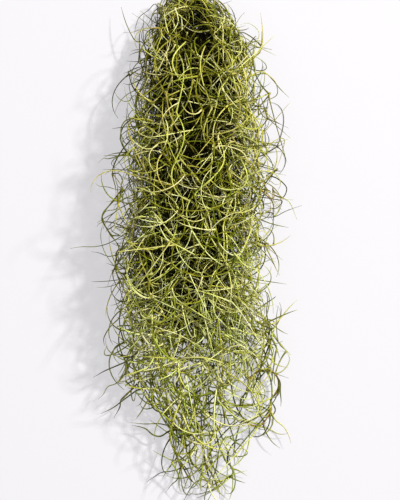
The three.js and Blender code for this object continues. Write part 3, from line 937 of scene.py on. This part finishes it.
# Threads that the solids leave out.
def grow_more_leaf(line, knot, draw, room_from=None):
    """A thread leaf from near a place on a stem's line, or None where it doesn't fit.

    Where the number of the node that it leaves is given, it also keeps off other threads.
    """
    place = max(1, min(len(line) - 2, knot + round(draw(ROOT_STEPS))))
    root = line[place]
    distance = -root[1]
    stem = heading_of(line[place - 1], line[place + 1])
    if draw((0, 1)) < BACKWARD_SHARE:
        stem = scaled(stem, -1)
    for i in range(MORE_TRIES):
        spread = draw(LEAF_SPREAD)
        aside = square_to(stem, draw(FULL_TURN))
        heading = add(scaled(aside, math.sin(spread)), stem, math.cos(spread))
        heading = add(heading, (0, -1, 0), along(MORE_DROOP, distance))
        heading = unit(add(heading, outward_at(root), draw(LEAN_OUT)))
        towards = square_to(heading, draw(FULL_TURN))
        length = draw(MORE_LENGTH) * (1 - (LEAF_SHORTENING * i) / MORE_TRIES)
        length *= along(TAIL_LENGTH, distance)
        coil = along(MORE_COIL, distance)
        curl = draw(MORE_CURL) * coil
        hook = draw(MORE_HOOK) * coil
        path = curled_path(root, heading, towards, length, curl, hook, draw(MORE_WAVE), draw(MORE_WAVES))
        rows = path[::2]
        reach = along(MORE_REACH, distance) + MORE_STRAY * draw((0, 1)) ** STRAY_POWER
        if not stays_in(rows, reach):
            continue
        if room_from is not None:
            radii = leaf_radii(rows, MORE_FOOT)
            if not has_room(rows[1:], radii[1:], room_from, FINE_GAP):
                continue
            take(rows, radii, room_from, None)
        return {"line": path, "knots": []}
    return None


def add_leaf(threads, shoot, node, seed, keeps_off=True):
    """Grows one more leaf at a node, and adds it to a strand's threads."""
    leaf = grow_more_leaf(shoot["line"], node["knot"], seeded(seed), node["id"] if keeps_off else None)
    if leaf:
        threads.append(leaf)


def grow_further_strands():
    further = []
    for strand in range(STRANDS, STRANDS + MORE_STRANDS):
        stem = grow_stem(strand, FURTHER_RULE)
        shoots = grow_side_shoots(stem, strand, MORE_SHOOT_EVERY, FINE_GAP, MORE_TRIES)
        further.append([stem, *shoots])
    return further


def add_more_leaves(bearing, added):
    """More leaves on every shoot: fewer down the tail, at the airy side and on the solids' strands."""
    most = math.ceil(max(count for _, count in MORE_LEAVES))
    for turn in range(most):
        for strand, shoot, node in nodes_of(bearing):
            point = shoot["points"][node["row"]]
            count = along(LEAVES_ON_OLD if strand < STRANDS else MORE_LEAVES, -point[1])
            if outward_at(point)[0] > along(AIRY_SIDES, -point[1]):
                count *= AIRY_SHARE
            if turn + 0.5 <= count:
                seed = seed_for(MORE_SEEDS, strand, node["id"], turn)
                add_leaf(added[strand], shoot, node, seed)


def add_core_leaves(bearing, added):
    for strand, shoot, node in nodes_of(bearing):
        point = shoot["points"][node["row"]]
        if -point[1] > CORE_END:
            continue
        x, _, z = outward_at(point)
        is_flank = z < 0 and FLANK[0] < x < FLANK[1]
        is_deep = math.hypot(x, z) < 1 - CORE_DEPTH
        count = FLANK_LEAVES if is_flank else CORE_LEAVES if is_deep else 0
        for turn in range(count):
            seed = seed_for(CORE_SEEDS, strand, node["id"], turn)
            add_leaf(added[strand], shoot, node, seed, keeps_off=False)


def spline(points):
    """A smooth line through points, with whole steps between them."""
    before = add(points[0], sub(points[0], points[1]))
    after = add(points[-1], sub(points[-1], points[-2]))
    ends = np.array([before, *points, after])
    line = []
    for a, b, c, d in zip(ends, ends[1:], ends[2:], ends[3:]):
        for i in range(STRAY_STEPS):
            t = i / STRAY_STEPS
            bend = (c - a) * t + (2 * a - 5 * b + 4 * c - d) * t**2 + (3 * b - a - 3 * c + d) * t**3
            x, y, z = b + bend / 2
            line.append((float(x), float(y), max(LOWEST, float(z))))
    return [*line, points[-1]]


def rooted(course, carriers, height):
    """A loose course in space, from the nearest node, and the number of that node's strand."""
    x, distance = course[0]
    root, strand = min(carriers, key=lambda c: (c[0][0] - x) ** 2 + (c[0][1] + distance) ** 2)
    skipped = 1 if math.hypot(root[0] - x, root[1] + distance) < NEAR_NODE else 0
    points = [root]
    for i, (x, distance) in enumerate(course[skipped:]):
        share = (i + 1) / (len(course) - skipped)
        target = max(LOWEST, along(THICKNESS, distance) * height)
        points.append((x, -distance, (1 - share) * root[2] + share * target))
    return points, strand


def loose_stem(points):
    """A loose stem, with a node at each point of its course."""
    line = spline(points)
    knots = list(range(STRAY_STEPS, len(line) - STRAY_STEPS, STRAY_STEPS))
    nodes = [{"id": new_node(), "row": knot, "knot": knot} for knot in knots]
    return {"points": line, "nodes": nodes, "line": line, "knots": knots, "radius": LOOSE_RADIUS}


def place_loose(bearing):
    """The loose stems and the loose leaves, each with the number of the strand that bears it."""
    carriers = [(shoot["points"][node["row"]], strand) for strand, shoot, node in nodes_of(bearing)]
    draw = seeded(SEED + COURSE_SEED)
    stems = []
    for course in LOOSE_STEMS:
        points, strand = rooted(course, carriers, draw(STRAY_HEIGHT))
        stem = loose_stem(points)
        stems.append((strand, stem))
        carriers += [(stem["line"][knot], strand) for knot in stem["knots"]]
    leaves = []
    for course in STRAY_LEAVES:
        points, strand = rooted(course, carriers, draw(STRAY_HEIGHT))
        leaves.append((strand, {"line": spline(points), "knots": []}))
    return stems, leaves


def add_loose(stems, leaves, added):
    for strand, stem in stems:
        added[strand].append(stem)
        for node in stem["nodes"]:
            distance = -stem["points"][node["row"]][1]
            for turn in range(round(along(LOOSE_LEAVES, distance))):
                seed = seed_for(LOOSE_SEEDS, 0, node["id"], turn)
                add_leaf(added[strand], stem, node, seed)
    for strand, leaf in leaves:
        added[strand].append(leaf)


def beyond_hollow(x, distance):
    """0 in the middle of the hollow below the crown, 1 at its edge and more beyond."""
    return ((x - HOLLOW[0]) / HOLLOW_SIZE[0]) ** 2 + ((distance - HOLLOW[1]) / HOLLOW_SIZE[1]) ** 2


def crown_place(number):
    """Where a crown thread runs in the section, across and up."""
    out = CROWN_OUT + CROWN_OUT_SPAN * ((number * GOLDEN_RATIO) % 1)
    across = out * math.cos(number * GOLDEN_ANGLE)
    up = out * math.sin(number * GOLDEN_ANGLE)
    if number % CROWN_INNER_EVERY == 0 or number >= CROWN_THREADS:
        across *= CROWN_INNER
        up = -abs(up) * CROWN_INNER
    if up > 0 and abs(across) < CROWN_PARTING:
        across = math.copysign(CROWN_PARTING + abs(across) / 2, across)
    return across, up


def crown_line(across, up, draw):
    """The line of a thread that winds down from the crown at a place in the section."""
    start = draw(CROWN_START)
    end = draw(CROWN_END)
    phase = draw(FULL_TURN)
    sway = draw(CROWN_SWAY)
    swings = draw(CROWN_SWINGS)
    points = []
    for i in range(CROWN_POINTS):
        share = i / (CROWN_POINTS - 1)
        distance = start + (end - start) * share
        narrow = CROWN_NARROW + (1 - CROWN_NARROW) * min(1, CROWN_WIDENING * share)
        swing = sway * math.sin(phase + swings * share)
        lift = sway * math.cos(phase + swings * share)
        x, y, z = in_bunch(distance, across * narrow + swing, up * narrow - swing / 2)
        points.append((x + along(CROWN_DRIFT, distance), y + CROWN_LOOP * lift, z))
    return spline(points)


def add_crown(added):
    """Threads from the crown over the shoulders with their leaves, shared out among the strands."""
    draw = seeded(SEED + CROWN_SEED)
    for number in range(CROWN_THREADS + CROWN_CORE):
        line = crown_line(*crown_place(number), draw)
        threads = added[number % len(added)]
        threads.append({"line": line, "knots": []})
        for _ in range(CROWN_LEAVES):
            leaf = grow_more_leaf(line, round(draw((1, len(line) - 2))), draw)
            if not leaf:
                continue
            nearest = min(beyond_hollow(x, -y) for x, y, z in leaf["line"])
            if number >= CROWN_THREADS or nearest > HOLLOW_EDGE:
                threads.append(leaf)


def grow_more(shoots):
    """What is added to each of the solids' strands, and then the further strands."""
    further = grow_further_strands()
    bearing = [list(threads) for threads in [*shoots, *further]]
    added = [[] for _ in shoots] + further
    stems, leaves = place_loose(bearing)
    add_more_leaves(bearing, added)
    add_core_leaves(bearing, added)
    add_crown(added)
    add_loose(stems, leaves, added)
    return added


# Meshes: every thread is a closed, round tube.
def sized(stations, distances):
    return np.interp(distances, *np.array(stations).T)


def out_across(points):
    """How far points lie to the right of the bunch's middle line: 1 at its outside."""
    distance = -points[:, 1]
    return (points[:, 0] - sized(SIDE_DRIFT, distance)) / sized(HALF_WIDTH, distance)


def radii_of(line, knots, stem_radius, factor):
    """A thread's radius at each point, how near a knot that is, and its share of the leaf's length."""
    steps = np.linalg.norm(np.diff(line, axis=0), axis=1)
    place = np.concatenate([[0], np.cumsum(steps)])
    length = place[-1]
    leaf_start = place[knots[-1]] if knots else 0
    share = np.clip((place - leaf_start) / (length - leaf_start), 0, 1)
    radii = sized(ROUND_LEAF, -line[:, 1]) * factor * (1 - ROUND_TAPER * share**2)
    if knots:
        radii = np.where(place <= leaf_start, stem_radius or sized(ROUND_STEM, -line[:, 1]), radii)
        knot = np.zeros(len(line))
        for k in knots:
            knot = np.maximum(knot, np.exp(-(((place - place[k]) / KNOT_LENGTH) ** 2)))
    else:
        knot = np.exp(-place / KNOT_LENGTH)
    tip = np.minimum(1, np.sqrt((length - place) / TIP_LENGTH))
    return np.maximum((radii + KNOT_SWELL * knot) * tip, TIP_RADIUS), knot, share


def tube(line, radii, sides):
    """The rings of a tube: each is turned as little as it can be from the one before."""
    ahead = np.diff(line, axis=0)
    ahead /= np.linalg.norm(ahead, axis=1)[:, None]
    heading = np.vstack([ahead[:1], ahead[:-1] + ahead[1:], ahead[-1:]])
    heading /= np.linalg.norm(heading, axis=1)[:, None]
    towards = np.array(square_to(tuple(heading[0]), 0))
    angles = np.arange(sides) * (2 * math.pi / sides)
    rings = np.empty((len(line), sides, 3))
    for i, point in enumerate(line):
        towards = towards - heading[i] * (heading[i] @ towards)
        towards /= np.linalg.norm(towards)
        aside = np.cross(heading[i], towards)
        ring = np.outer(np.cos(angles), towards) + np.outer(np.sin(angles), aside)
        rings[i] = point + radii[i] * ring
    rings[:, :, 2] = np.maximum(rings[:, :, 2], 0)
    return rings


def light_at(points, lengths):
    """The share of the light that gets in to each point, past the threads beside and above it."""
    low = points.min(axis=0) - SHADE_CELL * (SHADE_STEPS + 1)
    size = ((points.max(axis=0) - low) // SHADE_CELL).astype(int) + SHADE_STEPS + 2
    cell = ((points - low) // SHADE_CELL).astype(int)
    filled = np.zeros(size)
    np.add.at(filled, tuple(cell.T), lengths)
    ways = [(i, j, k) for i in (-1, 0, 1) for j in (-1, 0, 1) for k in (0, 1) if i or j or k]
    light = np.zeros(len(points))
    for way in ways:
        passed = np.zeros(len(points))
        for step in range(1, SHADE_STEPS + 1):
            passed += filled[tuple((cell + np.array(way) * step).T)] * math.hypot(*way)
        light += np.exp(-SHADE_THICKNESS * passed) / len(ways)
    return light


def shade_threads(pieces):
    """Marks painted shade along each thread's line: 1 where little light gets in to it. The same mark
    also gives the dark of old stems deep in the tangle.
    """
    threads = [thread for piece in pieces for thread in piece]
    points = np.concatenate([np.array(thread["line"]) for thread in threads])
    lengths = []
    for thread in threads:
        steps = np.linalg.norm(np.diff(thread["line"], axis=0), axis=1)
        lengths.append((np.append(steps, 0) + np.append(0, steps)) / 2)
    light = light_at(points, np.concatenate(lengths))
    distance = -points[:, 1]
    across = out_across(points)
    # Painted light: more at the right side, towards the key light, less at the left.
    light += np.where(across > 0, SUNNY_SIDE, LEFT_SIDE_LIGHT) * np.clip(across**2, 0, 1)
    # Painted shade in the hollow below the crown, less for the threads on top of it.
    beyond = beyond_hollow(points[:, 0], distance)
    height = np.clip(points[:, 2] / sized(THICKNESS, distance), 0, 1)
    light -= HOLLOW_SHADE * np.exp(-beyond) * (1 - height**2)
    # Painted shade: threads that get less light than the open share are darkened.
    shade = np.clip((sized(OPEN_SHARES, distance) - light) / SHADE_RANGE, 0, 1)
    first = 0
    for thread in threads:
        thread["shade"] = shade[first : first + len(thread["line"])]
        first += len(thread["line"])


def marks_of(thread, line, share, knot, draw):
    """What the material reads at each point: tone, shade, knot and rust, and the tint."""
    tone = draw((0, 1))
    tone = 0.5 - 0.5 * math.cos(math.pi * tone * tone * (3 - 2 * tone))  # few are of middling tone
    if "radius" in thread:
        tone *= LOOSE_TONE
    elif thread["knots"]:
        tone *= STEM_TONE
    tint = draw((0, 1)) + sized(TINT_SHIFTS, -line[:, 1])
    rust = draw((0, 1))
    across = out_across(line)
    stray = np.clip((np.abs(across) - STRAY_FROM) / STRAY_SPAN, 0, 1)
    # Painted shade on threads that stand out of the bunch, stronger at the left side, away from the key
    # light.
    stray_shade = stray * np.where(across < 0, *STRAY_SHADE)
    dead = (rust < RUST_SHARE) * np.exp(-RUST_FADE * share)
    dead_tip = TIP_RUST * (rust > 1 - TIP_SHARE) * share**TIP_POWER
    mark = np.empty((len(line), 4))
    mark[:, 0] = np.clip(tone + sized(YOUNG_SHARES, -line[:, 1]), 0, 1) * (1 - stray_shade)
    mark[:, 1] = thread["shade"]
    mark[:, 2] = knot
    mark[:, 3] = dead + dead_tip
    return mark, tint


def quads_of(count, sides):
    """Ring and side of each quad of a tube, and the numbers of its four corners."""
    ring, side = np.meshgrid(np.arange(count - 1), np.arange(sides), indexing="ij")
    after = (side + 1) % sides
    upper = (ring + 1) * sides
    quads = np.stack([ring * sides + side, ring * sides + after, upper + after, upper + side], axis=-1)
    return ring, side, quads.ravel()


def strip_of(ring, side, count, sides, number, columns, rows):
    """The map of a tube: a strip of its own, with both flat ends in the strip's edges."""
    left = (number % columns + STRIP_EDGE) / columns
    low = (number // columns + STRIP_EDGE) / rows
    wide = (1 - 2 * STRIP_EDGE) / columns
    high = (1 - 2 * STRIP_EDGE) / rows
    u = left + wide * np.stack([side, side + 1, side + 1, side], axis=-1).ravel() / sides
    v = low + high * np.stack([ring, ring, ring + 1, ring + 1], axis=-1).ravel() / (count - 1)
    angles = np.arange(sides) * 2 * math.pi / sides
    end_u = left + wide * (0.5 + 0.5 * np.cos(angles))
    end_v = high * STRIP_END * (1 + np.sin(angles))
    all_u = np.concatenate([u, end_u[::-1], end_u])
    all_v = np.concatenate([v, low - end_v, low + high + end_v])
    return np.stack([all_u, all_v], axis=-1)


def gathered_tubes(threads, seed):
    """The tubes of threads: corners, faces as corner numbers and sizes, map, marks and tints."""
    draw = seeded(seed)
    columns = math.ceil(math.sqrt(len(threads) * STRIP_SHAPE))
    rows = math.ceil(len(threads) / columns)
    tubes = {key: [] for key in ("places", "corners", "sizes", "map", "marks", "tints")}
    first = 0
    for number, thread in enumerate(threads):
        line = np.array(thread["line"])
        count = len(line)
        sides = STEM_SIDES if thread["knots"] else LEAF_SIDES
        radii, knot, share = radii_of(line, thread["knots"], thread.get("radius"), draw(LEAF_FACTOR))
        mark, tint = marks_of(thread, line, share, knot, draw)
        ring, side, quads = quads_of(count, sides)
        root = np.arange(sides)[::-1]
        tip = (count - 1) * sides + np.arange(sides)
        tubes["places"].append(tube(line, radii, sides).reshape(-1, 3))
        tubes["corners"].append(first + np.concatenate([quads, root, tip]))
        tubes["sizes"].append(np.array([4] * ((count - 1) * sides) + [sides, sides]))
        tubes["map"].append(strip_of(ring, side, count, sides, number, columns, rows))
        tubes["marks"].append(np.repeat(mark, sides, axis=0))
        tubes["tints"].append(np.repeat(tint, sides))
        first += count * sides
    return {key: np.concatenate(parts) for key, parts in tubes.items()}


def fill(target, key, values, kind=np.float32):
    target.foreach_set(key, values.astype(kind).ravel())


def build_piece(name, threads, shift, seed, slot):
    """One mesh with all these threads, on the bunch's only body."""
    tubes = gathered_tubes(threads, seed)
    mesh = bpy.data.meshes.new(name)
    mesh.vertices.add(len(tubes["places"]))
    fill(mesh.vertices, "co", (tubes["places"] + shift) * METRES)
    mesh.loops.add(len(tubes["corners"]))
    fill(mesh.loops, "vertex_index", tubes["corners"], np.int32)
    mesh.polygons.add(len(tubes["sizes"]))
    fill(mesh.polygons, "loop_start", np.cumsum(tubes["sizes"]) - tubes["sizes"], np.int32)
    mesh.update(calc_edges=True)
    fill(mesh.polygons, "use_smooth", np.ones(len(tubes["sizes"])), bool)
    fill(mesh.uv_layers.new(name="OFBake").data, "uv", tubes["map"])
    marks = mesh.color_attributes.new(name="thread", type="FLOAT_COLOR", domain="POINT")
    fill(marks.data, "color", tubes["marks"])
    tints = mesh.attributes.new(name="tint", type="FLOAT", domain="POINT")
    fill(tints.data, "value", tubes["tints"])
    mesh.validate()
    mesh.materials.append(materials[slot])
    piece = bpy.data.objects.new(name, mesh)
    bpy.context.scene.collection.objects.link(piece)
    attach(piece, "root")
    return piece


# Materials.
def linear(hex_colour):
    """A colour for a shader socket, from its usual hex number."""
    parts = [((hex_colour >> shift) & 255) / 255 for shift in (16, 8, 0)]
    return (*(((p + 0.055) / 1.055) ** 2.4 if p > 0.04045 else p / 12.92 for p in parts), 1)


class Graph:
    """A material's nodes, with short ways to add to them. An input is a value or an output."""

    def __init__(self, name):
        self.material = bpy.data.materials.new(name)
        self.material.use_nodes = True
        self.shader = self.material.node_tree.nodes["Principled BSDF"]
        self.place = self.node("ShaderNodeTexCoord", {}).outputs["Object"]

    def put(self, node, key, value):
        if isinstance(value, bpy.types.NodeSocket):
            self.material.node_tree.links.new(value, node.inputs[key])
        else:
            node.inputs[key].default_value = value

    def node(self, kind, inputs, **settings):
        made = self.material.node_tree.nodes.new(kind)
        for key, value in settings.items():
            setattr(made, key, value)
        for key, value in inputs.items():
            self.put(made, key, value)
        return made

    def attribute(self, name, output):
        return self.node("ShaderNodeAttribute", {}, attribute_name=name).outputs[output]

    def noise(self, scale, detail):
        inputs = {"Vector": self.place, "Scale": scale, "Detail": detail}
        return self.node("ShaderNodeTexNoise", inputs).outputs["Fac"]

    def maths(self, operation, a, b, clamp=False):
        inputs = {0: a, 1: b}
        return self.node("ShaderNodeMath", inputs, operation=operation, use_clamp=clamp).outputs[0]

    def uneven(self, value, noise, share):
        """The value, a share of the noise more or less."""
        change = self.maths("MULTIPLY", self.maths("SUBTRACT", noise, 0.5), share)
        return self.maths("ADD", value, change, clamp=True)

    def mixed(self, share, a, b):
        return self.node("ShaderNodeMix", {0: share, 6: a, 7: b}, data_type="RGBA").outputs[2]

    def bump(self, height, strength, depth):
        inputs = {"Height": height, "Strength": strength, "Distance": depth}
        self.put(self.shader, "Normal", self.node("ShaderNodeBump", inputs).outputs["Normal"])


def thread_colour(graph, pale, dark, tone, tint):
    """A thread's green, by its tone, turned round the colour circle by its tint."""
    green = graph.mixed(tone, linear(dark), linear(pale))
    turn = graph.maths("MULTIPLY", tint, TINT_SPAN)
    turn = graph.maths("ADD", turn, 0.5 - TINT_SPAN * TINT_MIDDLE)
    return graph.node("ShaderNodeHueSaturation", {"Hue": turn, "Color": green}).outputs["Color"]


def bloom_share(graph, scales, tone):
    """How much of a thread its pale scales cover."""
    patches = graph.maths("SUBTRACT", scales, BLOOM_START)
    patches = graph.maths("MULTIPLY", patches, BLOOM_RISE, clamp=True)
    share = graph.maths("ADD", graph.maths("MULTIPLY", patches, BLOOM_PATCHES), BLOOM_SHARE)
    return graph.maths("MULTIPLY", share, graph.maths("POWER", tone, BLOOM_POWER), clamp=True)


def thread_material(name, pale, dark, shade_share):
    """Living thread: green by its own tone, scaly grey bloom, brown sheaths, and painted shade that turns
    it to the dark of old stems where little light gets in.
    """
    graph = Graph(name)
    maths = graph.maths
    marks = graph.node("ShaderNodeSeparateColor", {"Color": graph.attribute("thread", "Color")})
    tone, shade, knot = marks.outputs
    rust = graph.attribute("thread", "Alpha")
    tint = graph.attribute("tint", "Fac")
    grain = graph.noise(*GRAIN)
    scales = graph.noise(*SCALES)
    tone = graph.uneven(tone, graph.noise(*BLOTCHES), BLOTCH_SHARE)
    tone = graph.uneven(tone, grain, GRAIN_SHARE)

    colour = thread_colour(graph, pale, dark, tone, tint)
    sheath = maths("MULTIPLY", maths("MULTIPLY", knot, grain), SHEATH_SHARE, clamp=True)
    colour = graph.mixed(sheath, colour, linear(SHEATH))
    colour = graph.mixed(bloom_share(graph, scales, tone), colour, linear(BLOOM))
    colour = graph.mixed(maths("MULTIPLY", rust, RUST_COVER), colour, linear(RUST))
    # Painted shade: where little light gets in, the colour goes to the dark of old stems.
    colour = graph.mixed(maths("MULTIPLY", shade, shade_share), colour, linear(OLD_STEM_AND_SHADE))
    rough = maths("ADD", maths("MULTIPLY", grain, GRAIN_ROUGHNESS), SMOOTHEST)
    rough = maths("ADD", rough, maths("MULTIPLY", shade, SHADE_ROUGHNESS), clamp=True)

    graph.put(graph.shader, "Base Color", colour)
    graph.put(graph.shader, "Roughness", rough)
    graph.bump(maths("ADD", scales, grain), *SCALE_BUMP)
    graph.shader.inputs["Specular IOR Level"].default_value = GLINT_LEVEL
    graph.shader.inputs["Specular Tint"].default_value = linear(GLINT)
    return graph.material


def floor_material():
    graph = Graph("pale_floor")
    graph.bump(graph.noise(*FLOOR_NOISE), *FLOOR_BUMP)
    graph.shader.inputs["Base Color"].default_value = FLOOR_COLOUR
    graph.shader.inputs["Roughness"].default_value = FLOOR_ROUGHNESS
    graph.shader.inputs["Emission Color"].default_value = FLOOR_GLOW_COLOUR
    graph.shader.inputs["Emission Strength"].default_value = FLOOR_GLOW
    return graph.material


# The bunch in the scene.
strands, shoots = grow_strands()
added = grow_more(shoots)
shade_threads([*strands, *added])
corners = np.concatenate([np.array(t["rings"]).reshape(-1, 3) for threads in strands for t in threads])
middle = (corners.min(axis=0) + corners.max(axis=0)) / 2
shift = np.array([-middle[0], -middle[1], 0])

materials = {slot: thread_material(*kind) for slot, kind in THREAD_KINDS.items()}
slots = {part["node"]: part["material_slot"] for part in frame["record"]["subparts"]}
for number, node_name in enumerate(sorted(frame["nodes"])):
    slot = slots[node_name]
    piece = build_piece("fine_" + node_name, strands[number], shift, SEED + number, slot)
    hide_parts(node_name)
    build_piece("more_" + node_name, added[number], shift, SEED + MORE_PIECE_SEED + number, slot)
for number, threads in enumerate(added[STRANDS:]):
    slot = FURTHER_SLOTS[number % len(FURTHER_SLOTS)]
    name = f"further_strand_{number + 1:02d}"
    build_piece(name, threads, shift, SEED + FURTHER_PIECE_SEED + number, slot)


# Floor, light and camera.
def place_floor():
    corners = [(x * FLOOR_HALF, y * FLOOR_HALF, 0) for x, y in ((-1, -1), (1, -1), (1, 1), (-1, 1))]
    mesh = bpy.data.meshes.new("floor")
    mesh.from_pydata(corners, [], [(0, 1, 2, 3)])
    mesh.materials.append(floor_material())
    floor = bpy.data.objects.new("floor", mesh)
    bpy.context.scene.collection.objects.link(floor)


def place_light(name, place, size, power, colour):
    data = bpy.data.lights.new(name, "AREA")
    data.shape = "DISK"
    data.size = size
    data.energy = power
    data.color = colour
    light = bpy.data.objects.new(name, data)
    light.location = place
    light.rotation_euler = (Vector(LIGHT_TARGET) - Vector(place)).to_track_quat("-Z", "Y").to_euler()
    bpy.context.scene.collection.objects.link(light)


def set_world():
    world = bpy.data.worlds.new("studio")
    world.use_nodes = True
    background = world.node_tree.nodes["Background"]
    background.inputs["Color"].default_value = WORLD_COLOUR
    background.inputs["Strength"].default_value = WORLD_STRENGTH
    bpy.context.scene.world = world
    bpy.context.scene.view_settings.view_transform = "Standard"


def place_camera():
    """Straight above the bunch, so that a pixel of the picture is PIXEL wide on its middle plane."""
    data = bpy.data.cameras.new("camera")
    data.sensor_fit = "VERTICAL"
    data.sensor_height = SENSOR
    data.lens = SENSOR * (CAMERA_HEIGHT - CAMERA_PLANE) / (PIXEL * PICTURE_HEIGHT)
    camera = bpy.data.objects.new("camera", data)
    camera.location = (shift[0] * METRES, (FRAME_MIDDLE + shift[1]) * METRES, CAMERA_HEIGHT)
    camera.rotation_euler = (0, 0, 0)
    bpy.context.scene.collection.objects.link(camera)
    bpy.context.scene.camera = camera


place_floor()
for light in LIGHTS:
    place_light(*light)
set_world()
place_camera()
